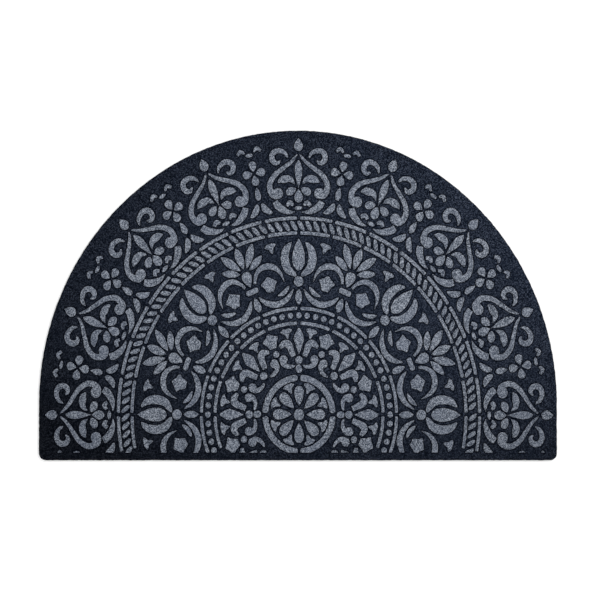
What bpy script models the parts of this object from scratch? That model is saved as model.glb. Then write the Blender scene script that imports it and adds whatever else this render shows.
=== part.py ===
"""Half round doormat: one flat moulded rubber mat with a low ornament raised on its face."""

import math
from collections import namedtuple

import bmesh
import bpy
from mathutils import Vector

# Driving dimensions, in metres
MAT_WIDTH = 0.750
MAT_DEPTH = 0.4773
STRAIGHT_SIDE = 0.0662
ARCH_FULLNESS = 2.065
CORNER_RADIUS = 0.010
GROUND_THICKNESS = 0.0055
EDGE_CHAMFER = 0.0012
RELIEF_HEIGHT = 0.0015
RELIEF_ROOT = 0.0010
PLAIN_HEM = 0.0112
SMALLEST_STUB = 0.004
ORNAMENT_STRETCH = 1.098

# How finely the outline and the curled ends are divided
ARCH_STEPS = 56
CORNER_STEPS = 3
BALL_STEPS = 3

MM = 0.001
HALF_DEPTH = MAT_DEPTH / 2
ARCH_RISE = MAT_DEPTH - STRAIGHT_SIDE
ORNAMENT_CENTRE_Y = STRAIGHT_SIDE - HALF_DEPTH
HEM_Y = PLAIN_HEM - HALF_DEPTH
MAT_HEIGHT = GROUND_THICKNESS + RELIEF_HEIGHT
FLAT_FACE_LIMIT = math.radians(0.5)
MERGE_DISTANCE = 0.00001

# The ornament is drawn about the centre of its rings, in millimetres, before it is stretched along Y.
# A unit is drawn with its own axis up (+Y) and is repeated round the centre, turning clockwise.
Unit = namedtuple("Unit", "first last pitch offset")
UNITS = {
    "heart": Unit(-5, 5, 22.5, 0.0),
    "bloom": Unit(-5, 4, 22.5, 11.25),
    "lotus": Unit(-2, 2, 45.0, 0.0),
    "palmette": Unit(-3, 2, 45.0, 22.5),
    "rosette": Unit(0, 7, 45.0, 0.0),
}

# A leaf runs along its own axis from its foot at x, y. An end with sharpness 0.5 is round, 1 is pointed.
Leaf = namedtuple("Leaf", "unit x y turn length width foot tip steps paired")
LEAVES = [
    Leaf("heart", 0.0, 346.5, 0, 18.5, 13.2, 0.62, 1.0, 3, False),
    Leaf("heart", 0.0, 299.4, 0, 36.0, 10.0, 1.5, 0.8, 3, False),
    Leaf("heart", 0.0, 279.6, 0, 18.2, 13.0, 0.6, 0.9, 2, False),
    Leaf("heart", 3.2, 298.8, 117, 15.8, 11.0, 0.8, 0.6, 2, True),
    Leaf("bloom", 0.0, 325.5, 0, 14.2, 11.4, 0.95, 0.52, 2, False),
    Leaf("bloom", 2.3, 323.2, 90, 14.2, 11.4, 0.95, 0.52, 2, True),
    Leaf("bloom", 0.0, 320.9, 180, 14.2, 11.4, 0.95, 0.52, 2, False),
    Leaf("bloom", 0.0, 285.6, 0, 18.4, 8.6, 0.6, 1.0, 2, False),
    Leaf("lotus", 0.0, 190.5, 0, 42.5, 18.0, 0.55, 0.95, 4, False),
    Leaf("lotus", 0.0, 145.2, 0, 20.0, 9.2, 0.8, 0.9, 2, False),
    Leaf("lotus", 0.0, 80.1, 0, 34.0, 14.6, 1.1, 0.85, 3, False),
    Leaf("palmette", 0.0, 183.4, 0, 20.4, 13.6, 0.95, 0.55, 3, False),
    Leaf("palmette", 0.0, 144.6, 0, 20.0, 10.0, 0.62, 0.9, 2, False),
    Leaf("palmette", 0.0, 206.6, 0, 28.6, 11.0, 1.0, 0.8, 2, False),
    Leaf("palmette", 6.4, 205.2, 33, 35.0, 10.2, 1.0, 0.8, 2, True),
    Leaf("palmette", 9.8, 200.0, 65, 26.4, 9.6, 0.9, 0.8, 2, True),
    Leaf("rosette", 0.0, 11.0, 0, 27.0, 14.0, 1.0, 0.5, 3, False),
]

# A stroke follows knots from its start to its end and is widest between them. An end with sharpness 0 is
# cut square. A ball above 0 is the radius of the disc that the end curls into.
Stroke = namedtuple("Stroke", "unit knots width start end ball steps")
STROKES = [
    Stroke("heart", [(2.6, 342.3), (10, 333.4), (22, 324.6), (34, 315.6), (41, 304), (39.4, 293.6), (34.4, 288.4)],
           8.4, 0.42, 0.0, 7.5, 5),
    Stroke("heart", [(4.4, 302.0), (9.0, 307.6), (16.5, 310.6), (24.0, 309.4), (30.5, 304.8)],
           9.6, 0.75, 0.85, 0, 3),
    Stroke("heart", [(34.0, 282.4), (28.2, 274.4), (20.8, 268.0), (12.5, 265.3), (4.8, 266.6)],
           9.2, 0.1, 0.75, 0, 3),
    Stroke("heart", [(15.2, 337.6), (19.6, 344.4), (28.8, 347.6), (36.4, 344.6), (38.4, 338.2), (35.0, 333.0),
                     (28.8, 332.6)], 8.6, 0.55, 0.2, 0, 4),
    Stroke("bloom", [(3.8, 283.4), (5.6, 276.4), (10.4, 270.8), (16.6, 267.6)], 7.2, 0.6, 0.75, 0, 2),
    Stroke("lotus", [(10.6, 228.6), (18.0, 219.5), (20.4, 206.4), (16.2, 193.4), (3.8, 184.2)],
           11.2, 0.62, 0.7, 0, 4),
    Stroke("lotus", [(23.6, 169.6), (29.0, 184.4), (42.5, 194.0), (56.3, 190.4), (61.9, 175.2)],
           7.6, 0.6, 0.6, 0, 4),
    Stroke("lotus", [(8.0, 165.4), (18.4, 151.2), (33.6, 143.9), (49.0, 146.9), (59.0, 154.0)],
           8.4, 0.75, 0.75, 0, 4),
    Stroke("lotus", [(4.6, 78.6), (9.4, 86.4), (13.6, 95.0), (20.4, 95.0), (26.6, 87.6)],
           10.0, 0.4, 0.35, 0, 4),
    Stroke("lotus", [(5.1, 64.2), (12.0, 61.4), (18.5, 62.0), (23.3, 65.6), (24.6, 70.4)],
           6.2, 0.5, 0.0, 5.6, 5),
]

# A disc is a bead or a ball, and with five sides it stands for a small five-lobed star.
Disc = namedtuple("Disc", "unit x y radius sides paired")
DISCS = [
    Disc("lotus", 0.0, 175.8, 7.0, 7, False),
    Disc("lotus", 0.0, 71.8, 5.2, 5, False),
    Disc("lotus", 40.9, 171.7, 10.4, 5, True),
    Disc("palmette", 0.0, 85.9, 4.6, 5, False),
    Disc("palmette", 0.0, 104.0, 10.2, 5, False),
]

# Ring lines are broken into short bars. A bar's rim may be followed in more than one straight step.
RingLine = namedtuple("RingLine", "radius width pitch gap first last steps")
RING_LINES = [
    RingLine(259.9, 4.8, 11.25, 4.2, -9, 8, 1),
    RingLine(240.4, 4.8, 11.25, 4.2, -9, 8, 1),
    RingLine(140.1, 4.6, 22.5, 4.4, -5, 4, 2),
    RingLine(120.5, 4.5, 22.5, 4.4, -5, 4, 2),
    RingLine(48.3, 8.8, 90.0, 4.6, -2, 1, 4),
]

# The rope is a row of slanted lozenges between the two outer ring lines.
ROPE_RADIUS = 249.9
ROPE_PITCH = 2.5
ROPE_FIRST = -43
ROPE_LAST = 42
LOZENGE_HALF_LENGTH = 5.9
LOZENGE_HALF_WIDTH = 3.1
LOZENGE_LEAN = 3.0

# The bead course runs between the two middle ring lines.
BEAD_RADIUS = 4.1
BEAD_COURSE_RADIUS = 130.8
BEAD_PITCH = 90 / 17
BEAD_LAST = 21
BEAD_SIDES = 4

# The clasp is the short bar that ties each palmette to its stem.
CLASP_HALF_LENGTH = 9.0
CLASP_HALF_WIDTH = 3.6
CLASP_RADIUS = 175.0

CENTRE_BOSS_RADIUS = 7.5
CENTRE_BOSS_SIDES = 8


def eased(share, start, end):
    """How wide a form is at a share of its length, from 0 to 1, with these sharpnesses at its ends."""
    if not 0 < share < 1:
        return 1.0 if (share <= 0 and start == 0) or (share >= 1 and end == 0) else 0.0
    total = start + end
    peak = start / total
    widest = (peak ** start if start else 1.0) * ((1 - peak) ** end if end else 1.0)
    return share ** start * (1 - share) ** end / widest


def leaf_outline(length, width, foot, tip, steps):
    """A leaf from its foot at the origin to its tip, with its middle points nearest its widest place."""
    crowding = math.log(foot / (foot + tip)) / math.log(0.5)
    shares = [(0.5 - 0.5 * math.cos(math.pi * step / steps)) ** crowding for step in range(steps + 1)]
    right = [Vector((width / 2 * eased(share, foot, tip), share * length)) for share in shares]
    left = [Vector((-point.x, point.y)) for point in right[-2:0:-1]]
    return right + left


def point_on_curve(knots, share):
    """A point at a share, from 0 to 1, of the smooth curve through the knots."""
    spans = len(knots) - 1
    span = min(int(share * spans), spans - 1)
    part = share * spans - span
    here = Vector(knots[span])
    there = Vector(knots[span + 1])
    before = Vector(knots[span - 1]) if span else 2 * here - there
    after = Vector(knots[span + 2]) if span + 2 <= spans else 2 * there - here
    leaving = (there - before) / 2
    arriving = (after - here) / 2
    return (here * (2 * part ** 3 - 3 * part ** 2 + 1) + leaving * (part ** 3 - 2 * part ** 2 + part)
            + there * (3 * part ** 2 - 2 * part ** 3) + arriving * (part ** 3 - part ** 2))


def ball_rim(centre, radius, start, end, way):
    """Points on the disc at a stroke's end, from one direction round to another, 1 being anticlockwise."""
    first = math.atan2(start.y, start.x)
    sweep = (way * (math.atan2(end.y, end.x) - first)) % math.tau
    angles = [first + way * sweep * step / BALL_STEPS for step in range(1, BALL_STEPS + 1)]
    return [centre + Vector((math.cos(angle), math.sin(angle))) * radius for angle in angles]


def stroke_outline(stroke):
    shares = [step / stroke.steps for step in range(stroke.steps + 1)]
    middle = [point_on_curve(stroke.knots, share) for share in shares]
    left = []
    right = []
    for step, share in enumerate(shares):
        ahead = middle[min(step + 1, stroke.steps)] - middle[max(step - 1, 0)]
        side = Vector((-ahead.y, ahead.x)).normalized()
        sharp_end = 0.0 if stroke.ball else stroke.end
        half = stroke.width / 2 * eased(share, stroke.start, sharp_end)
        left.append(middle[step] + side * half)
        right.append(middle[step] - side * half)
    if not stroke.ball:
        return without_doubles(left + right[::-1])
    curls_left = (middle[-2] - middle[-3]).cross(middle[-1] - middle[-2]) > 0
    outer, inner = (right, left) if curls_left else (left, right)
    outward = (outer[-1] - inner[-1]).normalized()
    centre = outer[-1] - outward * stroke.ball
    inner = [point for point in inner if (point - centre).length > stroke.ball]
    rim = ball_rim(centre, stroke.ball, outward, inner[-1] - centre, 1 if curls_left else -1)
    return without_doubles(outer + rim + inner[::-1])


def without_doubles(outline):
    """The outline without any point that lies on the one before it."""
    smallest_step = 0.3
    kept = []
    for point in outline:
        if not kept or (point - kept[-1]).length > smallest_step:
            kept.append(point)
    if (kept[0] - kept[-1]).length < smallest_step:
        kept.pop()
    return kept


def disc_outline(radius, sides):
    angles = [math.tau * side / sides for side in range(sides)]
    return [Vector((radius * math.sin(angle), radius * math.cos(angle))) for angle in angles]


def bar_of_ring(ring):
    half = math.radians(ring.pitch) / 2 - ring.gap / 2 / ring.radius
    angles = [half * (2 * step / ring.steps - 1) for step in range(ring.steps + 1)]
    rims = [ring.radius + ring.width / 2, ring.radius - ring.width / 2]
    outer, inner = [[Vector((rim * math.sin(a), rim * math.cos(a))) for a in angles] for rim in rims]
    return outer + inner[::-1]


def placed(outline, x=0.0, y=0.0, turn=0.0):
    """The outline turned clockwise by degrees and then moved."""
    cosine = math.cos(math.radians(turn))
    sine = math.sin(math.radians(turn))
    return [Vector((p.x * cosine + p.y * sine + x, p.y * cosine - p.x * sine + y)) for p in outline]


def mirrored(outline):
    return [Vector((-point.x, point.y)) for point in outline[::-1]]


def unit_outlines(name):
    """Every outline of one unit, drawn with its axis up."""
    outlines = []
    for leaf in LEAVES:
        if leaf.unit == name:
            form = leaf_outline(leaf.length, leaf.width, leaf.foot, leaf.tip, leaf.steps)
            form = placed(form, leaf.x, leaf.y, leaf.turn)
            outlines += [form, mirrored(form)] if leaf.paired else [form]
    for stroke in STROKES:
        if stroke.unit == name:
            form = stroke_outline(stroke)
            outlines += [form, mirrored(form)]
    for disc in DISCS:
        if disc.unit == name:
            form = placed(disc_outline(disc.radius, disc.sides), disc.x, disc.y)
            outlines += [form, mirrored(form)] if disc.paired else [form]
    if name == "palmette":
        corners = [(-1, -1), (1, -1), (1, 1), (-1, 1)]
        clasp = [Vector((x * CLASP_HALF_LENGTH, y * CLASP_HALF_WIDTH + CLASP_RADIUS)) for x, y in corners]
        outlines.append(clasp)
    return outlines


def ornament_outlines():
    """Every raised form of the ornament, in millimetres about the centre of its rings."""
    outlines = [disc_outline(CENTRE_BOSS_RADIUS, CENTRE_BOSS_SIDES)]
    for name, unit in UNITS.items():
        forms = unit_outlines(name)
        for place in range(unit.first, unit.last + 1):
            outlines += [placed(form, turn=place * unit.pitch + unit.offset) for form in forms]
    for ring in RING_LINES:
        bar = bar_of_ring(ring)
        for place in range(ring.first, ring.last + 1):
            outlines.append(placed(bar, turn=(place + 0.5) * ring.pitch))
    low = -LOZENGE_HALF_LENGTH
    high = LOZENGE_HALF_LENGTH
    lozenge = [Vector((LOZENGE_LEAN - LOZENGE_HALF_WIDTH, low)), Vector((LOZENGE_LEAN + LOZENGE_HALF_WIDTH, low)),
               Vector((LOZENGE_HALF_WIDTH - LOZENGE_LEAN, high)), Vector((-LOZENGE_HALF_WIDTH - LOZENGE_LEAN, high))]
    for place in range(ROPE_FIRST, ROPE_LAST + 1):
        outlines.append(placed(placed(lozenge, y=ROPE_RADIUS), turn=(place + 0.5) * ROPE_PITCH))
    bead = placed(disc_outline(BEAD_RADIUS, BEAD_SIDES), y=BEAD_COURSE_RADIUS)
    for place in range(-BEAD_LAST, BEAD_LAST + 1):
        outlines.append(placed(bead, turn=place * BEAD_PITCH))
    return outlines


def in_metres(outline):
    """An ornament outline where it lies on the mat."""
    return [Vector((p.x * MM, p.y * MM * ORNAMENT_STRETCH + ORNAMENT_CENTRE_Y)) for p in outline]


def mat_outline():
    """The arch, its straight sides and its two rounded corners."""
    half_width = MAT_WIDTH / 2
    power = 2 / ARCH_FULLNESS
    outline = []
    for step in range(ARCH_STEPS + 1):
        angle = math.pi * step / ARCH_STEPS
        across = math.copysign(abs(math.cos(angle)) ** power, math.cos(angle))
        outline.append(Vector((half_width * across, ORNAMENT_CENTRE_Y + ARCH_RISE * math.sin(angle) ** power)))
    for side, first in ((-1, math.pi), (1, math.pi * 1.5)):
        centre = Vector((side * (half_width - CORNER_RADIUS), CORNER_RADIUS - HALF_DEPTH))
        for step in range(CORNER_STEPS + 1):
            angle = first + math.pi / 2 * step / CORNER_STEPS
            outline.append(centre + Vector((math.cos(angle), math.sin(angle))) * CORNER_RADIUS)
    return outline


def flat_solid(name, outlines, bottom, top):
    """A mesh of the flat outlines, between two heights, with its caps welded on."""
    curve = bpy.data.curves.new(name, "CURVE")
    curve.dimensions = "2D"
    curve.fill_mode = "BOTH"
    curve.extrude = (top - bottom) / 2
    for outline in outlines:
        spline = curve.splines.new("POLY")
        spline.points.add(len(outline) - 1)
        for point, place in zip(spline.points, outline):
            point.co = (place.x, place.y, 0, 1)
        spline.use_cyclic_u = True
    shape = bpy.data.objects.new(name, curve)
    shape.location.z = (top + bottom) / 2
    bpy.context.scene.collection.objects.link(shape)
    bpy.context.view_layer.update()
    graph = bpy.context.evaluated_depsgraph_get()
    mesh = bpy.data.meshes.new_from_object(shape.evaluated_get(graph))
    mesh.transform(shape.matrix_world)
    mesh.name = name
    bpy.data.objects.remove(shape)
    form = bmesh.new()
    form.from_mesh(mesh)
    bmesh.ops.remove_doubles(form, verts=form.verts, dist=MERGE_DISTANCE)
    bmesh.ops.dissolve_limit(form, angle_limit=FLAT_FACE_LIMIT, verts=form.verts, edges=form.edges)
    bmesh.ops.recalc_face_normals(form, faces=form.faces)
    form.to_mesh(mesh)
    form.free()
    return mesh


def ground_mesh():
    """The plain mat, with the upper edge of its rim chamfered."""
    mesh = flat_solid("mat", [mat_outline()], 0, GROUND_THICKNESS)
    form = bmesh.new()
    form.from_mesh(mesh)
    rim = [edge for edge in form.edges if all(vert.co.z > GROUND_THICKNESS / 2 for vert in edge.verts)]
    bmesh.ops.bevel(form, geom=rim, offset=EDGE_CHAMFER, segments=1, profile=0.5, affect="EDGES", material=-1)
    form.to_mesh(mesh)
    form.free()
    return mesh


def ornament_mesh():
    """The raised forms, rooted in the mat. Those wholly on its plain hem are left out."""
    outlines = [in_metres(outline) for outline in ornament_outlines()]
    outlines = [outline for outline in outlines if max(point.y for point in outline) > HEM_Y + SMALLEST_STUB]
    return flat_solid("ornament", outlines, GROUND_THICKNESS - RELIEF_ROOT, MAT_HEIGHT)


def hem_cutter_mesh():
    """A block over the plain hem, which cuts the ornament off straight."""
    mesh = bpy.data.meshes.new("hem_cutter")
    form = bmesh.new()
    bmesh.ops.create_cube(form, size=1)
    bmesh.ops.scale(form, verts=form.verts, vec=(2 * MAT_WIDTH, MAT_DEPTH, 2 * MAT_HEIGHT))
    bmesh.ops.translate(form, verts=form.verts, vec=(0, HEM_Y - MAT_DEPTH / 2, MAT_HEIGHT / 2))
    form.to_mesh(mesh)
    form.free()
    return mesh


def rubber(name, colour):
    material = bpy.data.materials.new(name)
    material.use_nodes = True
    surface = material.node_tree.nodes["Principled BSDF"]
    surface.inputs["Base Color"].default_value = (*colour, 1)
    surface.inputs["Roughness"].default_value = 0.92
    surface.inputs["Metallic"].default_value = 0.0
    return material


def collection(name):
    made = bpy.data.collections.new(name)
    bpy.context.scene.collection.children.link(made)
    return made


def helper(name, mesh, group):
    """An object that shapes the mat and isn't a piece of it."""
    made = bpy.data.objects.new(name, mesh)
    made.hide_render = True
    made.display_type = "WIRE"
    group.objects.link(made)
    return made


def combine(target, operation, other):
    step = target.modifiers.new(other.name, "BOOLEAN")
    step.operation = operation
    step.solver = "EXACT"
    step.object = other


def main():
    for old in list(bpy.data.objects):
        bpy.data.objects.remove(old)
    helpers = collection("raised_forms_and_cutter")
    ornament = helper("ornament", ornament_mesh(), helpers)
    combine(ornament, "DIFFERENCE", helper("hem_cutter", hem_cutter_mesh(), helpers))
    mat = bpy.data.objects.new("mat", ground_mesh())
    mat.data.materials.append(rubber("flocked rubber", (0.017, 0.020, 0.027)))
    collection("half_round_doormat").objects.link(mat)
    combine(mat, "UNION", ornament)


main()
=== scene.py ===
"""Half round doormat: its moulded base, the raised courses of its ornament and their flock."""

import math
from collections import namedtuple

import bmesh
import bpy
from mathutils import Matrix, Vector, geometry, noise


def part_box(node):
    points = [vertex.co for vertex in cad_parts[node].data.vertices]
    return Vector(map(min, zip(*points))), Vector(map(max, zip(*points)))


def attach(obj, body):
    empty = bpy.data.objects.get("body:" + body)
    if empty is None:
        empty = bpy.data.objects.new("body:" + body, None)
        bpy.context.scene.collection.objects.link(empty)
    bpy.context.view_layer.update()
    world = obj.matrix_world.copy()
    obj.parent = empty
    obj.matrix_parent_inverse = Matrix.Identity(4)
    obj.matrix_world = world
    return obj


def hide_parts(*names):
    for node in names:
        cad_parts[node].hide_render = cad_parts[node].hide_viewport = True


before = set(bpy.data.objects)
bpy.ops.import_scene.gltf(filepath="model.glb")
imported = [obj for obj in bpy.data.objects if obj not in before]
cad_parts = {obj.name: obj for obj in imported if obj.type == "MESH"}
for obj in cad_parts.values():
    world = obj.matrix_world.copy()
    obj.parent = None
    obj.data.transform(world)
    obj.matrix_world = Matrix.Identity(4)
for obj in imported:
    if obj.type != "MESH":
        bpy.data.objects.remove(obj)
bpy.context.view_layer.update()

# Sizes, in millimetres unless a name says metres
MM = 0.001
LOWEST, HIGHEST = (Vector(corner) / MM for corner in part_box("mat"))
MAT_WIDTH = HIGHEST.x - LOWEST.x
MAT_DEPTH = HIGHEST.y - LOWEST.y
MAT_HEIGHT = HIGHEST.z
RELIEF_HEIGHT = 1.5
GROUND_TOP = MAT_HEIGHT - RELIEF_HEIGHT
STRAIGHT_SIDE = 79.8
CORNER_RADIUS = 10.0
PLAIN_HEM = 11.2
RING_CENTRE_Y = LOWEST.y + 66.3
ARCH_CENTRE_Y = LOWEST.y + STRAIGHT_SIDE
HEM_Y = LOWEST.y + PLAIN_HEM
ORNAMENT_STRETCH = 1.0972
SIDE_STRETCH = 1.0085
ORNAMENT_SHIFT = 1.55
ORNAMENT_LEAN = -0.0024

# How finely things are divided, and the smallest things that are kept
ARCH_STEPS = 400
CORNER_STEPS = 8
RIM_SPACING = 3.0
GROUND_RINGS = 60
OUTLINE_SPACING = 1.7
FORM_SPACING = 2.5
CUT_SPACING = 0.8
SMALLEST_STEP = 0.25
SMALLEST_STUB_AREA = 8.0
SHARPEST_SMOOTH_EDGE = 60

# Unevenness of the moulding and of the flock's edge, the same each run
UNEVENNESS_SEED = 1
WAVE_HEIGHT = 0.16
WAVE_LENGTH = 17.0
WAVES_START_AT = GROUND_TOP - 1
RIM_RAGGEDNESS = 0.5
RIM_RAG_LENGTH = 5.0
EDGE_RAGGEDNESS = 0.45
EDGE_RAG_LENGTH = 2.6

# The ornament is drawn about the centre of its rings before it is stretched along Y. A unit is a group of
# forms, drawn with its own axis up (+Y), of which the paired ones stand on one or both sides of that axis.
# It is repeated round the centre, turning clockwise by degrees.
BOTH = (1, -1)
RIGHT = (1,)
LEFT = (-1,)
Unit = namedtuple("Unit", "group course first last pitch offset sides")
UNITS = {
    "heart": Unit("heart", "heart_course", -5, 5, 22.5, 0.0, BOTH),
    "bloom": Unit("bloom", "bloom_course", -5, 4, 22.5, 11.25, BOTH),
    "crown": Unit("crown", "bloom_course", -5, 4, 22.5, 11.25, BOTH),
    "lotus": Unit("lotus", "lotus_course", -2, 2, 45.0, 0.0, BOTH),
    "lotus_foot": Unit("lotus_foot", "lotus_course", -2, 2, 45.0, 0.0, BOTH),
    "scroll_leaf_right": Unit("scroll_leaf", "lotus_course", -2, 2, 45.0, 0.0, RIGHT),
    "scroll_leaf_left": Unit("scroll_leaf", "lotus_course", -2, 2, 45.0, 0.0, LEFT),
    "trefoil_right": Unit("trefoil", "lotus_course", -2, 2, 45.0, 0.0, RIGHT),
    "trefoil_left": Unit("trefoil", "lotus_course", -2, 2, 45.0, 0.0, LEFT),
    "high_star_right": Unit("high_star", "lotus_course", -2, 0, 45.0, 0.0, RIGHT),
    "high_star_left": Unit("high_star", "lotus_course", 0, 2, 45.0, 0.0, LEFT),
    "low_star_right": Unit("low_star", "lotus_course", 1, 2, 45.0, 0.0, RIGHT),
    "low_star_left": Unit("low_star", "lotus_course", -2, -1, 45.0, 0.0, LEFT),
    "palmette": Unit("palmette", "lotus_course", -3, 2, 45.0, 22.5, BOTH),
    "fleur": Unit("fleur", "fleur_course", -3, 3, 45.0, 0.0, BOTH),
    "link": Unit("link", "fleur_course", -1, 1, 90.0, 0.0, BOTH),
    "bud": Unit("bud", "fleur_course", -3, 2, 45.0, 22.5, BOTH),
    "rosette": Unit("rosette", "rosette", 0, 7, 45.0, 0.0, BOTH),
}

# How far a unit stands from its even place, to its own right and outwards, from its first place to its last.
NUDGES = {
    "heart": ((0, 0), (-0.4, 0), (0.2, -0.7), (0.2, -0.6), (0.2, 0.1), (0.1, 0.1), (0, -0.3), (0.3, -0.3),
        (0.3, -0.4), (0.9, 0.7), (0, 0)),
    "bloom": ((-0.8, 0.4), (-1.2, -0.2), (-1, -0.5), (-0.8, 0.1), (-0.6, 0.7), (-0.5, 0.2), (-0.4, 0.3),
        (-0.5, -0.2), (-0.1, 0.4), (0.8, 0.8)),
    "crown": ((3, -6), (-1.9, -0.8), (-0.7, -1.8), (-2.1, -0.3), (-2.2, 0.6), (2.8, -0.1), (1.3, -0.9),
        (0, -2.1), (-2, -1.1), (-3.5, 0)),
    "lotus": ((0, -0.8), (0.4, -0.4), (0, -0.3), (-0.5, -0.7), (0.4, -0.6)),
    "lotus_foot": ((0.3, -0.7), (0.8, -1.9), (0.1, -0.2), (-0.6, -2.2), (0.4, -1.6)),
    "scroll_leaf_right": ((-0.3, -1.9), (-0.8, 3.5), (0, 0.1), (-0.4, 3.4), (-0.1, -0.7)),
    "scroll_leaf_left": ((2, -0.5), (1.8, 3.2), (1.6, 1.4), (2.1, 3.2), (3.3, 0.7)),
    "trefoil_right": ((-2.3, -1.8), (-1.2, -0.8), (-1.7, 0.8), (-2.6, -3.1), (0.2, -3.7)),
    "trefoil_left": ((2.8, -1), (2.5, -0.6), (0, 0.9), (1.4, 1.1), (1.4, -2.4)),
    "high_star_right": ((-0.4, 0.1), (-2.2, 0.5), (-1.8, 0.8)),
    "high_star_left": ((-0.4, -0.3), (-0.5, -0.4), (0.4, -0.7)),
    "low_star_right": ((-1.6, 0.4), (-1, -1.6)),
    "low_star_left": ((1.6, -1), (0.9, 1.1)),
    "palmette": ((0, 0), (0.4, -0.8), (0.3, 0.1), (-0.3, -0.4), (-0.1, -1), (0, 0)),
    "fleur": ((-0.7, 0.9), (0.1, -0.3), (0.2, 0), (0.1, 0.3), (-0.2, -0.2), (0.3, -0.2), (0.8, 0.8)),
    "link": ((0.5, -0.1), (0.1, 0.6), (0.3, -0.1)),
    "bud": ((0, -0.2), (0.4, -0.4), (0.2, 0), (0, -0.1), (-0.2, -0.6), (0.5, -0.1)),
    "rosette": ((0.2, 0.2), (-0.1, 0), (-0.1, -0.2), (0, 0), (0, -0.5), (0.3, -0.4), (0.5, -0.4), (0.6, 0)),
}

# A leaf runs along its own axis from its foot at x, y. An end with sharpness 0.5 is round, 1 is pointed.
# In place of one width, a leaf or a stroke may have its widths at equal steps from its start to its end.
Leaf = namedtuple("Leaf", "group x y turn length width foot tip paired")
LEAVES = [
    Leaf("heart", 0.0, 346.9, 0, 17.5, 13.2, 0.62, 1.0, False),
    Leaf("heart", 0.0, 297.2, 0, 38.2, 10.8, 1.35, 0.75, False),
    Leaf("heart", 0.0, 279.2, 0, 17.8, 12.2, 0.6, 0.9, False),
    Leaf("heart", 3.6, 298.3, 117, 15.8, 11.0, 0.8, 0.6, True),
    Leaf("heart", -5.8, 272.2, 90, 11.6, 5.5, 0.5, 0.5, False),
    Leaf("bloom", 0.0, 325.5, 0, 14.2, 11.4, 0.95, 0.52, False),
    Leaf("bloom", 2.1, 323.3, 90, 14.2, 11.4, 0.95, 0.52, True),
    Leaf("bloom", 0.0, 321.1, 180, 14.2, 11.4, 0.95, 0.52, False),
    Leaf("bloom", 0.0, 286.9, 0, 18.4, 8.6, 0.6, 1.0, False),
    Leaf("crown", -6.0, 348.0, 90, 11.2, 5.2, 0.5, 0.5, False),
    Leaf("lotus", 0.0, 190.3, 0, 42.8, 18.4, 0.55, 0.95, False),
    Leaf("lotus_foot", 0.0, 144.8, 0, 21.4, 9.8, 0.75, 0.8, False),
    Leaf("fleur", 0.0, 79.9, 0, 34.2, (0.8, 6.6, 11.2, 15.2, 9.8, 2.4), 0, 0, False),
    Leaf("link", 0.0, 54.2, 0, 11.4, 9.2, 0.4, 0.4, False),
    Leaf("palmette", 0.0, 181.2, 0, 21.4, 14.2, 0.9, 0.42, False),
    Leaf("palmette", 0.0, 145.8, 0, 20.0, 10.0, 0.62, 0.9, False),
    Leaf("palmette", 0.0, 206.7, 0, 30.0, 11.4, 0.95, 0.8, False),
    Leaf("palmette", 4.6, 206.1, 35.5, 34.0, 11.2, 0.95, 0.8, True),
    Leaf("palmette", 7.3, 202.2, 64, 26.6, 9.8, 0.85, 0.8, True),
    Leaf("rosette", 0.0, 10.9, 0, 27.0, 14.0, 1.0, 0.5, False),
]

# A stroke follows knots from its start to its end and is widest between them. An end with sharpness 0 is
# cut square. A ball above 0 is the radius of the disc that the end curls into.
Stroke = namedtuple("Stroke", "group knots width start end ball")
STROKES = [
    Stroke("heart", [(1.6, 343.3), (10.0, 333.5), (22.0, 324.7), (34.0, 315.7), (41.0, 304.1),
                     (40.2, 295.1), (35.8, 288.9), (29.6, 288.7)], 9.4, 0.35, 0.0, 7.4),
    Stroke("heart", [(5.3, 303.4), (9.5, 308.4), (13.9, 310.9), (19.2, 310.4), (25.0, 309.0),
                     (30.0, 306.0)], (0.6, 6.4, 8.6, 10.4, 8.4, 1.6), 0, 0, 0),
    Stroke("heart", [(33.9, 280.9), (30.0, 275.2), (23.2, 270.3), (14.2, 266.9), (4.7, 267.0)],
           (8.6, 10.0, 9.6, 8.2, 5.2, 0.8), 0, 0, 0),
    Stroke("heart", [(14.9, 337.9), (19.3, 344.7), (28.5, 347.9), (36.1, 344.9), (38.3, 338.3),
                     (35.3, 332.7), (30.3, 331.5), (26.1, 335.5)], 8.0, 0.55, 0.55, 0),
    Stroke("heart", [(7.2, 275.7), (12.2, 279.5), (17.2, 275.1)], (3.8, 6.4, 5.0), 0, 0, 0),
    Stroke("bloom", [(3.8, 283.0), (5.6, 276.0), (10.4, 270.4), (16.6, 267.2)], 8.8, 0.6, 0.75, 0),
    Stroke("crown", [(6.9, 351.5), (11.9, 355.5), (17.1, 350.9)], (3.0, 5.5, 4.0), 0, 0, 0),
    Stroke("lotus", [(10.0, 227.5), (17.4, 218.4), (19.8, 205.3), (15.6, 192.4), (3.3, 183.3)],
           12.2, 0.62, 0.5, 0),
    Stroke("lotus", [(20.8, 175.6), (25.7, 185.9), (32.7, 192.8), (41.4, 195.6), (50.7, 194.4),
                     (57.7, 189.6), (62.0, 180.6), (62.7, 172.0)],
           (0.6, 4.2, 6.8, 8.4, 7.8, 6.4, 4.8, 3.8), 0, 0, 0),
    Stroke("lotus", [(6.7, 166.5), (17.1, 152.3), (32.3, 145.0), (47.7, 148.0), (57.7, 155.1)],
           8.4, 0.75, 0.75, 0),
    Stroke("scroll_leaf", [(15.0, 168.4), (22.0, 159.8), (31.6, 154.8)], 6.2, 0.7, 0.7, 0),
    Stroke("fleur", [(7.7, 76.5), (10.6, 82.9), (13.0, 88.9), (16.5, 93.1), (21.6, 93.1), (27.6, 88.0)],
           (7.2, 8.2, 9.2, 10.4, 8.8, 4.6), 0, 0, 0),
    Stroke("fleur", [(5.2, 64.8), (10.2, 63.0), (16.8, 63.2), (22.2, 66.6), (24.0, 71.8)],
           7.9, 0.4, 0.0, 5.9),
]

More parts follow.
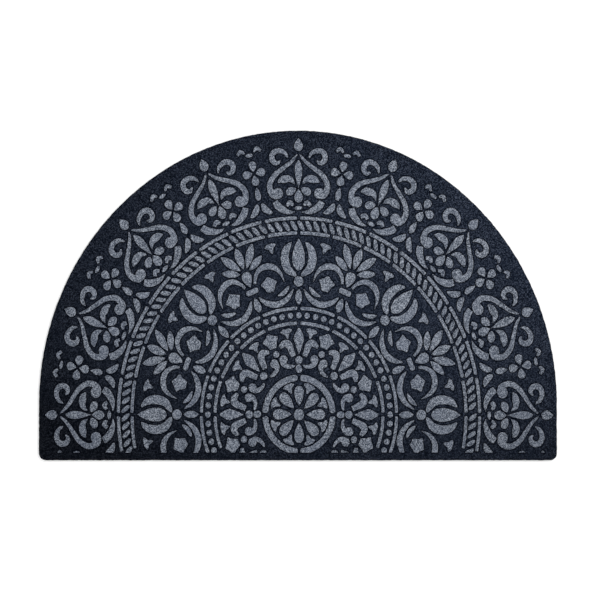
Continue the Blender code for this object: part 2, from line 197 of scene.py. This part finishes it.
# A disc, or a form whose rim is given by how far it reaches at angles clockwise from its own axis. The rim
# is the same on both sides of the axis, which is turned by degrees from its unit's axis.
Rosace = namedtuple("Rosace", "group x y turn radius rim paired")
STAR_RIM = ((0, 10.8), (40, 8.5), (80, 12.2), (114, 8.4), (158, 11.2), (180, 10.0))
TREFOIL_RIM = ((0, 4.8), (78, 9.4), (125, 4.3), (180, 9.6))
CORNER_POINTEDNESS = 1.6
ROSACES = [
    Rosace("lotus", 0.0, 175.9, 0, 6.9, (), False),
    Rosace("trefoil", 40.4, 219.3, 20, 0.95, TREFOIL_RIM, True),
    Rosace("high_star", 41.8, 171.4, 14, 1.0, STAR_RIM, True),
    Rosace("low_star", 41.8, 171.4, 29, 1.0, STAR_RIM, True),
    Rosace("fleur", 0.0, 71.8, 0, 5.4, (), False),
    Rosace("fleur", 17.9, 107.9, 14, 0.95, TREFOIL_RIM, True),
    Rosace("bud", 0.0, 85.7, 0, 4.6, (), False),
    Rosace("bud", -0.6, 104.1, 0, 1.0, STAR_RIM, False),
    Rosace("rosette", 14.4, 35.0, 22.5, 0.95, TREFOIL_RIM, False),
]

# Ring lines are broken into short bars with round ends.
RingLine = namedtuple("RingLine", "course radius width pitch gap first last")
RING_LINES = [
    RingLine("rope_course", 259.05, 4.8, 11.25, 4.0, -9, 8),
    RingLine("rope_course", 239.5, 4.7, 11.25, 4.0, -9, 8),
    RingLine("bead_course", 140.0, 4.6, 22.5, 4.2, -5, 4),
    RingLine("bead_course", 120.4, 4.7, 22.5, 4.2, -5, 4),
    RingLine("rosette", 48.5, 8.4, 90.0, 3.6, -2, 1),
]
END_ROUNDNESS = 0.6

# The rope's lozenges are a little longer at the top of the arch than at its sides.
ROPE_RADIUS = 249.0
# Runs of the rope's lozenges: the first one's angle, the step to the next and how many there are.
ROPE_RUNS = [(0.84, 2.548, 35), (90.9, 2.62, 5), (-1.53, -2.552, 40)]
LOZENGE_HALF_LENGTH = 5.9
LOZENGE_GAIN_AT_TOP = 0.15
LOZENGE_HALF_WIDTH = 3.7
LOZENGE_LEAN = 3.5
LOZENGE_SQUARENESS = 0.85
LOZENGE_STEPS = 18

BEAD_RADIUS = 4.2
BEAD_COURSE_RADIUS = 130.8
BEAD_PITCH = 90 / 17
BEAD_LAST = 21

CLASP_HALF_LENGTH = 9.0
CLASP_HALF_WIDTH = 3.6
CLASP_RADIUS = 174.8

CENTRE_BOSS_RADIUS = 7.5

# A section is a list of rings, each drawn inwards from an outline to a height. A ring goes no farther than a
# share of the room that the outline leaves for it, which also changes only slowly along the outline.
Ring = namedtuple("Ring", "inset height")
RAISED_SECTION = [
    Ring(-1.90, GROUND_TOP - 0.30),
    Ring(-1.20, GROUND_TOP + 0.03),
    Ring(0.00, GROUND_TOP + 0.20),
    Ring(0.15, GROUND_TOP + 0.80),
    Ring(0.35, GROUND_TOP + 1.18),
    Ring(0.75, GROUND_TOP + 1.40),
    Ring(1.55, MAT_HEIGHT),
]
# Faces of the raised forms below this height take the nearly black rubber. The dark ring it makes round each
# form's foot is partly bare rubber and partly painted shade of the groove beside the form.
FLOCK_STARTS_AT = GROUND_TOP + 0.35
# Faces of the base above this height are flocked, and those below it are bare.
RIM_FLOCK_STARTS_AT = GROUND_TOP - 0.75
RIM_SECTION = [
    Ring(0.50, 0.0),
    Ring(0.00, 0.6),
    Ring(0.00, GROUND_TOP - 1.6),
    Ring(0.25, GROUND_TOP - 0.7),
    Ring(0.90, GROUND_TOP - 0.15),
    Ring(1.90, GROUND_TOP),
]
LARGEST_SHARE_OF_ROOM = 0.75
STEEPEST_ROOM_CHANGE = 0.6
ENDLESS_ROOM = 1000.0
SMALLEST_REACH = 0.001
FULL_TURN_LIMIT = 0.05

# The camera looks straight down. It was aimed by the photograph's 600 by 600 pixels.
PICTURE_WIDTH_METRES = 0.8675
PICTURE_CENTRE_METRES = (0.0030, -0.0066)
LENS_MM = 85
SENSOR_MM = 36
FLOOR_REACH_METRES = 4


def along_curve(knots, share):
    """The value or place at a share, from 0 to 1, of the smooth curve through the knots."""
    spans = len(knots) - 1
    span = min(int(share * spans), spans - 1)
    here = knots[span]
    there = knots[span + 1]
    before = knots[span - 1] if span else 2 * here - there
    after = knots[span + 2] if span + 2 <= spans else 2 * there - here
    part = share * spans - span
    leaving = (there - before) / 2
    arriving = (after - here) / 2
    return (here * (2 * part ** 3 - 3 * part ** 2 + 1) + leaving * (part ** 3 - 2 * part ** 2 + part)
            + there * (3 * part ** 2 - 2 * part ** 3) + arriving * (part ** 3 - part ** 2))


def half_width(form, share, start, end):
    """Half of a leaf's or stroke's width at a share of its length, with these sharpnesses at its ends."""
    if isinstance(form.width, tuple):
        return along_curve(form.width, share) / 2
    if not 0 < share < 1:
        return form.width / 2 if (share <= 0 and start == 0) or (share >= 1 and end == 0) else 0.0
    peak = start / (start + end)
    widest = (peak ** start if start else 1.0) * ((1 - peak) ** end if end else 1.0)
    return form.width / 2 * share ** start * (1 - share) ** end / widest


def steps_for(length):
    return max(7, round(length / OUTLINE_SPACING))


def shares_of(steps, crowded):
    """Shares from 0 to 1, closer together at both ends where crowded."""
    if crowded:
        return [0.5 - 0.5 * math.cos(math.pi * step / steps) for step in range(steps + 1)]
    return [step / steps for step in range(steps + 1)]


def leaf_outline(leaf):
    shares = shares_of(steps_for(leaf.length), True)
    right = [Vector((half_width(leaf, share, leaf.foot, leaf.tip), share * leaf.length)) for share in shares]
    return without_doubles(right + mirrored(right))


def ball_rim(centre, radius, start, end, way):
    """Points on the disc at a stroke's end, from one direction round to another, 1 being anticlockwise."""
    first = math.atan2(start.y, start.x)
    sweep = (way * (math.atan2(end.y, end.x) - first)) % math.tau
    steps = steps_for(sweep * radius)
    angles = [first + way * sweep * step / steps for step in range(1, steps + 1)]
    return [centre + Vector((math.cos(angle), math.sin(angle))) * radius for angle in angles]


def stroke_outline(stroke):
    length = sum((Vector(b) - Vector(a)).length for a, b in zip(stroke.knots, stroke.knots[1:]))
    steps = steps_for(length)
    shares = shares_of(steps, not stroke.ball)
    middle = [along_curve([Vector(knot) for knot in stroke.knots], share) for share in shares]
    left = []
    right = []
    for step, share in enumerate(shares):
        ahead = middle[min(step + 1, steps)] - middle[max(step - 1, 0)]
        side = Vector((-ahead.y, ahead.x)).normalized()
        half = half_width(stroke, share, stroke.start, stroke.end)
        left.append(middle[step] + side * half)
        right.append(middle[step] - side * half)
    left = without_loop(left)
    right = without_loop(right)
    if not stroke.ball:
        return without_doubles(left + right[::-1])
    curls_left = (middle[-2] - middle[steps // 2]).cross(middle[-1] - middle[-2]) > 0
    outer, inner = (right, left) if curls_left else (left, right)
    outward = (outer[-1] - inner[-1]).normalized()
    centre = outer[-1] - outward * stroke.ball
    inner = [point for point in inner if (point - centre).length > stroke.ball]
    rim = ball_rim(centre, stroke.ball, outward, inner[-1] - centre, 1 if curls_left else -1)
    return without_doubles(outer + rim + inner[::-1])


def without_loop(line):
    """The line without the loop that one side of a wide stroke makes at a tight bend."""
    for first in range(len(line) - 3):
        for last in range(len(line) - 2, first + 1, -1):
            near, far = line[first:first + 2], line[last:last + 2]
            crossing = geometry.intersect_line_line_2d(*near, *far)
            if crossing:
                return line[:first + 1] + [crossing] + line[last + 1:]
    return line


def without_doubles(outline):
    """The outline without any point that lies on the one before it."""
    kept = []
    for point in outline:
        if not kept or (point - kept[-1]).length > SMALLEST_STEP:
            kept.append(point)
    if (kept[0] - kept[-1]).length < SMALLEST_STEP:
        kept.pop()
    return kept


def disc_outline(radius):
    steps = max(12, steps_for(math.tau * radius))
    angles = [math.tau * step / steps for step in range(steps)]
    return [Vector((radius * math.sin(angle), radius * math.cos(angle))) for angle in angles]


def rosace_outline(size, rim):
    """The outline with this rim on both sides of its axis, its reaches multiplied by size."""
    around = [(angle, reach * size) for angle, reach in rim]
    around += [(360 - angle, reach) for angle, reach in around[-2:0:-1]]
    outline = []
    for here, there in zip(around, around[1:] + around[:1]):
        gap = (there[0] - here[0]) % 360
        low = min(here[1], there[1])
        high = max(here[1], there[1])
        steps = max(2, round(high * math.radians(gap) / OUTLINE_SPACING))
        for step in range(steps):
            part = step / steps
            nearness_to_corner = part if there[1] > here[1] else 1 - part
            reach = low + (high - low) * nearness_to_corner ** CORNER_POINTEDNESS
            angle = math.radians(here[0] + gap * part)
            outline.append(Vector((reach * math.sin(angle), reach * math.cos(angle))))
    return outline


def bar_of_ring(ring):
    """A bar along a ring, centred on +Y, with round ends."""
    cap = ring.width / 2
    half = math.radians(ring.pitch) / 2 - (ring.gap / 2 + cap * END_ROUNDNESS) / ring.radius
    steps = steps_for(2 * half * ring.radius)
    angles = [half * (2 * step / steps - 1) for step in range(steps + 1)]
    outer, inner = [[Vector((rim * math.sin(a), rim * math.cos(a))) for a in angles]
                    for rim in (ring.radius + cap, ring.radius - cap)]
    far_end = round_end(ring, half, cap, 1)
    near_end = round_end(ring, half, cap, -1)
    return outer + far_end + inner[::-1] + near_end[::-1]


def round_end(ring, half, cap, side):
    """Points of a bar's end, from its outer rim to its inner one."""
    middle = Vector((ring.radius * math.sin(half) * side, ring.radius * math.cos(half)))
    outward = middle.normalized()
    along = Vector((outward.y, -outward.x)) * side * END_ROUNDNESS
    return [middle + (outward * math.cos(math.pi * part) + along * math.sin(math.pi * part)) * cap
            for part in (0.2, 0.4, 0.6, 0.8)]


def lozenge_outline(half_length):
    """A rounded lozenge of the rope, leaning anticlockwise at its outer end."""
    outline = []
    for step in range(LOZENGE_STEPS):
        angle = math.tau * step / LOZENGE_STEPS
        across = math.copysign(abs(math.sin(angle)) ** LOZENGE_SQUARENESS, math.sin(angle))
        along = math.copysign(abs(math.cos(angle)) ** LOZENGE_SQUARENESS, math.cos(angle))
        lean = -LOZENGE_LEAN * along
        outline.append(Vector((LOZENGE_HALF_WIDTH * across + lean, half_length * along)))
    return outline


def clasp_outline():
    corners = [(-1, -0.5), (-0.82, -1), (0.82, -1), (1, -0.5), (1, 0.5), (0.82, 1), (-0.82, 1), (-1, 0.5)]
    return [Vector((x * CLASP_HALF_LENGTH, y * CLASP_HALF_WIDTH + CLASP_RADIUS)) for x, y in corners]


def placed(outline, x=0.0, y=0.0, turn=0.0):
    """The outline turned clockwise by degrees and then moved."""
    cosine = math.cos(math.radians(turn))
    sine = math.sin(math.radians(turn))
    return [Vector((p.x * cosine + p.y * sine + x, p.y * cosine - p.x * sine + y)) for p in outline]


def mirrored(outline):
    return [Vector((-point.x, point.y)) for point in outline[::-1]]


def unit_outlines(unit):
    """Every outline of one unit, drawn with its axis up."""
    alone = []
    paired = []
    for leaf in LEAVES:
        if leaf.group == unit.group:
            form = placed(leaf_outline(leaf), leaf.x, leaf.y, leaf.turn)
            (paired if leaf.paired else alone).append(form)
    for stroke in STROKES:
        if stroke.group == unit.group:
            paired.append(stroke_outline(stroke))
    for rosace in ROSACES:
        if rosace.group == unit.group:
            rim = rosace_outline(rosace.radius, rosace.rim) if rosace.rim else disc_outline(rosace.radius)
            (paired if rosace.paired else alone).append(placed(rim, rosace.x, rosace.y, rosace.turn))
    if unit.group == "palmette":
        alone.append(clasp_outline())
    return alone + [form if side > 0 else mirrored(form) for form in paired for side in unit.sides]


def course_outlines():
    """The outlines of each course of the ornament, about the centre of its rings."""
    courses = {"rosette": [disc_outline(CENTRE_BOSS_RADIUS)]}
    for name, unit in UNITS.items():
        forms = unit_outlines(unit)
        course = courses.setdefault(unit.course, [])
        nudges = NUDGES.get(name, [(0, 0)] * (unit.last - unit.first + 1))
        for place, nudge in zip(range(unit.first, unit.last + 1), nudges):
            turn = place * unit.pitch + unit.offset
            course += [placed(placed(form, *nudge), turn=turn) for form in forms]
    for ring in RING_LINES:
        course = courses.setdefault(ring.course, [])
        for place in range(ring.first, ring.last + 1):
            course.append(placed(bar_of_ring(ring), turn=(place + 0.5) * ring.pitch))
    for first, step, count in ROPE_RUNS:
        for turn in [first + place * step for place in range(count)]:
            gain = LOZENGE_GAIN_AT_TOP * math.cos(math.radians(turn)) ** 2
            lozenge = placed(lozenge_outline(LOZENGE_HALF_LENGTH * (1 + gain)), y=ROPE_RADIUS)
            courses["rope_course"].append(placed(lozenge, turn=turn))
    bead = placed(disc_outline(BEAD_RADIUS), y=BEAD_COURSE_RADIUS)
    for place in range(-BEAD_LAST, BEAD_LAST + 1):
        courses["bead_course"].append(placed(bead, turn=place * BEAD_PITCH))
    return courses


def area_of(outline):
    """The area inside an outline, positive where it runs anticlockwise."""
    return sum(a.cross(b) for a, b in zip(outline, outline[1:] + outline[:1])) / 2


def above_hem(outline):
    """The parts of an outline on the arch's side of the plain hem, which cuts it off straight."""
    if min(point.y for point in outline) >= HEM_Y:
        return [outline]
    if max(point.y for point in outline) <= HEM_Y:
        return []
    form = bmesh.new()
    form.faces.new([form.verts.new((point.x, point.y, 0)) for point in outline])
    bmesh.ops.triangulate(form, faces=form.faces)
    everything = form.verts[:] + form.edges[:] + form.faces[:]
    bmesh.ops.bisect_plane(form, geom=everything, clear_outer=True,
                           plane_co=(0, HEM_Y, 0), plane_no=(0, -1, 0))
    bmesh.ops.dissolve_faces(form, faces=form.faces)
    parts = [without_doubles([vert.co.xy for vert in face.verts]) for face in form.faces]
    form.free()
    return [part for part in parts if abs(area_of(part)) > SMALLEST_STUB_AREA]


def divided(outline, spacing):
    """The outline, anticlockwise and with its long straight runs divided."""
    if area_of(outline) < 0:
        outline = outline[::-1]
    points = []
    for here, there in zip(outline, outline[1:] + outline[:1]):
        parts = max(1, round((there - here).length / spacing))
        points += [here.lerp(there, part / parts) for part in range(parts)]
    return points


def ways_in(outline):
    """For each point of an anticlockwise outline, the direction inwards and its rooms inside and outside."""
    inwards = []
    inside = []
    outside = []
    count = len(outline)
    for index, point in enumerate(outline):
        before = (point - outline[index - 1]).normalized()
        after = (outline[(index + 1) % count] - point).normalized()
        ahead = before + after
        if ahead.length < FULL_TURN_LIMIT:
            ahead = Vector((-before.y, before.x))
        inward = Vector((-ahead.y, ahead.x)).normalized()
        inwards.append(inward)
        inside.append(room_beside(point, inward, outline))
        outside.append(room_beside(point, -inward, outline))
    return list(zip(inwards, eased(inside, outline), eased(outside, outline)))


def room_beside(point, way, outline):
    """The radius of the largest circle that touches the outline at a point and lies on this side of it."""
    rooms = [ENDLESS_ROOM]
    for other in outline:
        reach = (other - point).dot(way)
        if reach > SMALLEST_REACH:
            rooms.append((other - point).length_squared / (2 * reach))
    return min(rooms)


def eased(rooms, outline):
    """A share of each point's room, which changes only slowly from one point of the outline to the next."""
    count = len(outline)
    rooms = [room * LARGEST_SHARE_OF_ROOM for room in rooms]
    for way in (1, -1):
        for step in range(2 * count):
            here = step * way % count
            there = (step + 1) * way % count
            farthest = rooms[here] + (outline[there] - outline[here]).length * STEEPEST_ROOM_CHANGE
            rooms[there] = min(rooms[there], farthest)
    return rooms


def solid_on(outline, section):
    """A closed solid drawn from an anticlockwise outline through a section's rings, and its top face."""
    form = bmesh.new()
    ways = ways_in(outline)
    insets = [[max(-outside, min(ring.inset, inside)) for _, inside, outside in ways] for ring in section]
    places = [point + way[0] * inset for point, way, inset in zip(outline, ways, insets[0])]
    verts = [form.verts.new((place.x, place.y, section[0].height)) for place in places]
    top = form.faces.new(verts)
    for level in range(1, len(section)):
        top = bmesh.ops.extrude_discrete_faces(form, faces=[top])["faces"][0]
        rise = section[level].height - section[level - 1].height
        for vert, way, before, after in zip(top.verts, ways, insets[level - 1], insets[level]):
            move = way[0] * (after - before)
            vert.co += Vector((move.x, move.y, rise))
    form.faces.new(verts[::-1])
    return form, top


def mat_outline():
    """The arch, its straight sides and its two rounded corners, anticlockwise from the right."""
    half_mat = MAT_WIDTH / 2
    rise = MAT_DEPTH - STRAIGHT_SIDE
    angles = [math.pi * step / ARCH_STEPS for step in range(ARCH_STEPS + 1)]
    outline = [Vector((half_mat * math.cos(angle), ARCH_CENTRE_Y + rise * math.sin(angle)))
               for angle in angles]
    for side, first in ((-1, math.pi), (1, math.pi * 1.5)):
        centre = Vector((side * (half_mat - CORNER_RADIUS), LOWEST.y + CORNER_RADIUS))
        for step in range(CORNER_STEPS + 1):
            angle = first + math.pi / 2 * step / CORNER_STEPS
            outline.append(centre + Vector((math.cos(angle), math.sin(angle))) * CORNER_RADIUS)
    return outline


def shaken(form, distance, length):
    """Moves a form's points a little along the floor, the same way wherever forms meet."""
    for vert in form.verts:
        push = noise.noise_vector(Vector((vert.co.x, vert.co.y, 0)) / length)
        vert.co.xy += push.xy * distance


def waved(form):
    """Lets the moulding's upper face rise and fall very slightly."""
    for vert in form.verts:
        if vert.co.z > WAVES_START_AT:
            vert.co.z += noise.noise(Vector((vert.co.x, vert.co.y, 0)) / WAVE_LENGTH) * WAVE_HEIGHT


def ground_piece():
    """The base of the mat, with a rounded rim."""
    form, top = solid_on(divided(mat_outline(), RIM_SPACING), RIM_SECTION)
    shaken(form, RIM_RAGGEDNESS, RIM_RAG_LENGTH)
    share = 1.0
    for ring in range(1, GROUND_RINGS):
        top = bmesh.ops.extrude_discrete_faces(form, faces=[top])["faces"][0]
        next_share = 1 - ring / GROUND_RINGS
        for vert in top.verts:
            vert.co.xy *= next_share / share
        share = next_share
    for face in form.faces:
        face.material_index = 0 if face.calc_center_median().z > RIM_FLOCK_STARTS_AT else 1
    return finished(form, "ground", [DARK_FLOCK, BARE_RUBBER_AND_GROOVE_SHADE])


def laid_point(point):
    """Where a point of the ornament lies on the mat, whose moulding is stretched and leans very slightly."""
    across = point.x * SIDE_STRETCH + ORNAMENT_SHIFT
    along = point.y * ORNAMENT_STRETCH
    return Vector((across + along * ORNAMENT_LEAN, along + RING_CENTRE_Y))


def raised_piece(name, outlines):
    """One course of raised forms, each rooted a little below the ground's face."""
    course = bmesh.new()
    for outline in outlines:
        for part in above_hem([laid_point(point) for point in outline]):
            is_cut = min(point.y for point in part) < HEM_Y + SMALLEST_REACH
            form, _ = solid_on(divided(part, CUT_SPACING if is_cut else FORM_SPACING), RAISED_SECTION)
            one = bpy.data.meshes.new("one_form")
            form.to_mesh(one)
            form.free()
            course.from_mesh(one)
            bpy.data.meshes.remove(one)
    shaken(course, EDGE_RAGGEDNESS, EDGE_RAG_LENGTH)
    # The low faces take the nearly black rubber, a dark ring round each form's foot that is partly painted
    # groove shade.
    for face in course.faces:
        face.material_index = 0 if face.calc_center_median().z > FLOCK_STARTS_AT else 1
    return finished(course, name, [LIGHT_FLOCK, BARE_RUBBER_AND_GROOVE_SHADE])


def finished(form, name, materials):
    """A piece of the mat, in metres, made from a form in millimetres."""
    waved(form)
    bmesh.ops.recalc_face_normals(form, faces=form.faces)
    bmesh.ops.scale(form, verts=form.verts, vec=(MM, MM, MM))
    mesh = bpy.data.meshes.new(name)
    form.to_mesh(mesh)
    form.free()
    mesh.shade_smooth()
    mesh.set_sharp_from_angle(angle=math.radians(SHARPEST_SMOOTH_EDGE))
    for material in materials:
        mesh.materials.append(material)
    piece = bpy.data.objects.new(name, mesh)
    bpy.context.scene.collection.objects.link(piece)
    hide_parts("mat")
    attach(piece, "root")
    return piece


class Wire:
    """A shader socket on which sums and products can be written."""

    def __init__(self, surface, socket):
        self.surface = surface
        self.socket = socket

    def math(self, operation, first, second):
        return self.surface.node("ShaderNodeMath", {"operation": operation}, {0: first, 1: second})

    def __add__(self, other):
        return self.math("ADD", self, other)

    def __sub__(self, other):
        return self.math("SUBTRACT", self, other)

    def __rsub__(self, other):
        return self.math("SUBTRACT", other, self)

    def __mul__(self, other):
        return self.math("MULTIPLY", self, other)

    __radd__ = __add__
    __rmul__ = __mul__


class Surface:
    """A new material, its shader and the wire of the place on the piece, from which its nodes start."""

    def __init__(self, name):
        self.material = bpy.data.materials.new(name)
        self.material.use_nodes = True
        self.tree = self.material.node_tree
        self.shader = self.tree.nodes["Principled BSDF"]
        self.place = self.node("ShaderNodeTexCoord", {}, {}, "Object")

    def node(self, kind, settings, sockets, output=0):
        """Adds a node, sets its settings and then its sockets, and returns the wire from its output."""
        node = self.tree.nodes.new(kind)
        for name, value in settings.items():
            if name == "stops":
                self.set_stops(node.color_ramp, value)
            else:
                setattr(node, name, value)
        for name, value in sockets.items():
            if isinstance(value, Wire):
                self.tree.links.new(value.socket, node.inputs[name])
            else:
                node.inputs[name].default_value = value
        return Wire(self, node.outputs[output])

    def set_stops(self, ramp, stops):
        """Gives a colour ramp its stops. A new ramp already has two."""
        for index, (position, colour) in enumerate(stops):
            stop = ramp.elements[index] if index < 2 else ramp.elements.new(position)
            stop.position = position
            stop.color = (*colour, 1)

    def speckle(self, size_mm, detail):
        """Noise from 0 to 1 whose grains are about this many millimetres across."""
        sockets = {"Vector": self.place, "Scale": 1000 / size_mm, "Detail": detail, "Roughness": 0.6}
        return self.node("ShaderNodeTexNoise", {}, sockets)

    def tufts(self, size_mm):
        """A random value from 0 to 1 for each small tuft of flock."""
        sockets = {"Vector": self.place, "Scale": 1000 / size_mm}
        cells = self.node("ShaderNodeTexVoronoi", {}, sockets, "Color")
        return self.node("ShaderNodeSeparateColor", {}, {"Color": cells})

    def mixed(self, share, first, second, blend_type="MIX"):
        """A colour that goes from the first to the second as the share goes from 0 to 1."""
        factor, first_colour, second_colour, mixed_colour = 0, 6, 7, 2
        return self.node("ShaderNodeMix", {"data_type": "RGBA", "blend_type": blend_type},
                         {factor: share, first_colour: first, second_colour: (*second, 1)}, mixed_colour)

    def matt(self, colour, height, strength, distance_mm, roughness):
        """The material with this colour and this height as its bump, and without any shine."""
        bump = self.node("ShaderNodeBump", {},
                         {"Height": height, "Strength": strength, "Distance": distance_mm * MM})
        self.tree.links.new(colour.socket, self.shader.inputs["Base Color"])
        self.tree.links.new(bump.socket, self.shader.inputs["Normal"])
        self.shader.inputs["Roughness"].default_value = roughness
        self.shader.inputs["Specular IOR Level"].default_value = 0.0
        return self.material


def linear(red, green, blue):
    """A colour as shaders take it, from its three values out of 255."""
    values = [value / 255 for value in (red, green, blue)]
    return tuple(v / 12.92 if v <= 0.04045 else ((v + 0.055) / 1.055) ** 2.4 for v in values)


def flock(name, stops, patch_colour, painted_light_centre, reach, painted_shade_dimming, bump_mm):
    """Short dense fibres: grains of several tones, broad patches of another tone and a rough nap.

    Their colour carries painted light: it is palest at one place, and as far from it as the reach it is
    multiplied by dimming, which paints the fall of the light towards the mat's edges.
    """
    surface = Surface(name)
    grain = surface.speckle(TUFT_MM, 1.0) * 0.35 + surface.tufts(TUFT_MM) * 0.65
    tone = surface.node("ShaderNodeValToRGB", {"stops": stops}, {"Fac": grain})
    share = surface.node("ShaderNodeMapRange", {}, {"Value": surface.speckle(PATCH_MM, 2.0),
                                                    "From Min": 0.4, "From Max": 0.75, "To Max": 0.3})
    patched = surface.mixed(share, tone, patch_colour)
    # Painted light and shade: the colour is multiplied towards the dimming colour as the squared distance
    # from the palest place grows, fully at the reach.
    x = surface.node("ShaderNodeSeparateXYZ", {}, {0: surface.place}, "X")
    y = surface.node("ShaderNodeSeparateXYZ", {}, {0: surface.place}, "Y")
    across = (x - painted_light_centre[0]) * (1 / reach[0])
    along = (y - painted_light_centre[1]) * (1 / reach[1])
    colour = surface.mixed(across * across + along * along, patched, painted_shade_dimming, "MULTIPLY")
    nap = surface.speckle(NAP_MM, 2.0) + surface.tufts(NAP_TUFT_MM) * 0.5
    return surface.matt(colour, nap, 0.8, bump_mm, 0.95)


def rubber(name, dark, pale):
    """Moulded rubber, with fine crumbs of a slightly paler tone."""
    surface = Surface(name)
    crumbs = surface.speckle(CRUMB_MM, 3.0)
    tone = surface.node("ShaderNodeValToRGB", {"stops": [(0.35, dark), (0.75, pale)]}, {"Fac": crumbs})
    return surface.matt(tone, crumbs, 0.6, 0.4, 0.9)


# Sizes of the materials' grain in millimetres
TUFT_MM = 0.9
NAP_MM = 1.6
NAP_TUFT_MM = 1.0
PATCH_MM = 60.0
CRUMB_MM = 1.3

# Places and reaches are in metres. Each flock's palest place, reach and dimming paint the fall of the light
# across the mat, and the dark flock's, palest towards the upper right, also paints its sheen.
LIGHT_FLOCK = flock(
    "light_flock",
    stops=[(0.20, linear(26, 32, 43)), (0.50, linear(84, 91, 102)), (0.82, linear(160, 166, 177))],
    patch_colour=linear(88, 96, 114), painted_light_centre=(0.01, 0.03), reach=(0.50, 0.37),
    painted_shade_dimming=(0.69, 0.69, 0.69), bump_mm=0.7)
DARK_FLOCK = flock(
    "dark_flock",
    stops=[(0.28, linear(4, 7, 13)), (0.56, linear(20, 26, 38)), (0.88, linear(72, 79, 94))],
    patch_colour=linear(17, 25, 38), painted_light_centre=(0.18, 0.04), reach=(0.66, 0.37),
    painted_shade_dimming=(0.31, 0.29, 0.27), bump_mm=0.3)
# Nearly black rubber of the mat's sides and underside. On the raised forms' feet it also paints the shade of
# the groove round each form.
BARE_RUBBER_AND_GROOVE_SHADE = rubber("bare_rubber_and_groove_shade", dark=linear(1, 2, 7), pale=linear(3, 6, 14))


def lay_mat():
    """The base and its courses, which are one moulding."""
    noise.seed_set(UNEVENNESS_SEED)
    ground = ground_piece()
    courses = [raised_piece(name, outlines) for name, outlines in course_outlines().items()]


def area_light(name, place, size, power):
    """A soft light aimed at the mat."""
    data = bpy.data.lights.new(name, "AREA")
    data.shape = "DISK"
    data.size = size
    data.energy = power
    light = bpy.data.objects.new(name, data)
    light.location = place
    light.rotation_euler = (-Vector(place)).to_track_quat("-Z", "Y").to_euler()
    bpy.context.scene.collection.objects.link(light)


def studio():
    """A plain pale floor, soft light that is stronger from the upper right, and the camera above."""
    form = bmesh.new()
    bmesh.ops.create_grid(form, x_segments=1, y_segments=1, size=FLOOR_REACH_METRES)
    mesh = bpy.data.meshes.new("floor")
    form.to_mesh(mesh)
    form.free()
    floor = bpy.data.objects.new("floor", mesh)
    bpy.context.scene.collection.objects.link(floor)
    pale = bpy.data.materials.new("pale_floor")
    pale.use_nodes = True
    pale.node_tree.nodes["Principled BSDF"].inputs["Base Color"].default_value = (0.93, 0.93, 0.93, 1)
    pale.node_tree.nodes["Principled BSDF"].inputs["Roughness"].default_value = 0.9
    mesh.materials.append(pale)
    world = bpy.data.worlds.new("studio")
    world.use_nodes = True
    world.node_tree.nodes["Background"].inputs["Color"].default_value = (1, 1, 1, 1)
    world.node_tree.nodes["Background"].inputs["Strength"].default_value = 1.0
    bpy.context.scene.world = world
    area_light("key", place=(0.9, 0.8, 1.5), size=1.2, power=18)
    area_light("fill", place=(-0.9, -0.5, 1.8), size=1.6, power=5)
    data = bpy.data.cameras.new("camera")
    data.lens = LENS_MM
    data.sensor_width = SENSOR_MM
    camera = bpy.data.objects.new("camera", data)
    distance = PICTURE_WIDTH_METRES * LENS_MM / SENSOR_MM
    camera.location = (*PICTURE_CENTRE_METRES, distance + HIGHEST.z * MM)
    bpy.context.scene.collection.objects.link(camera)
    bpy.context.scene.camera = camera
    bpy.context.scene.view_settings.view_transform = "Standard"


studio()
lay_mat()
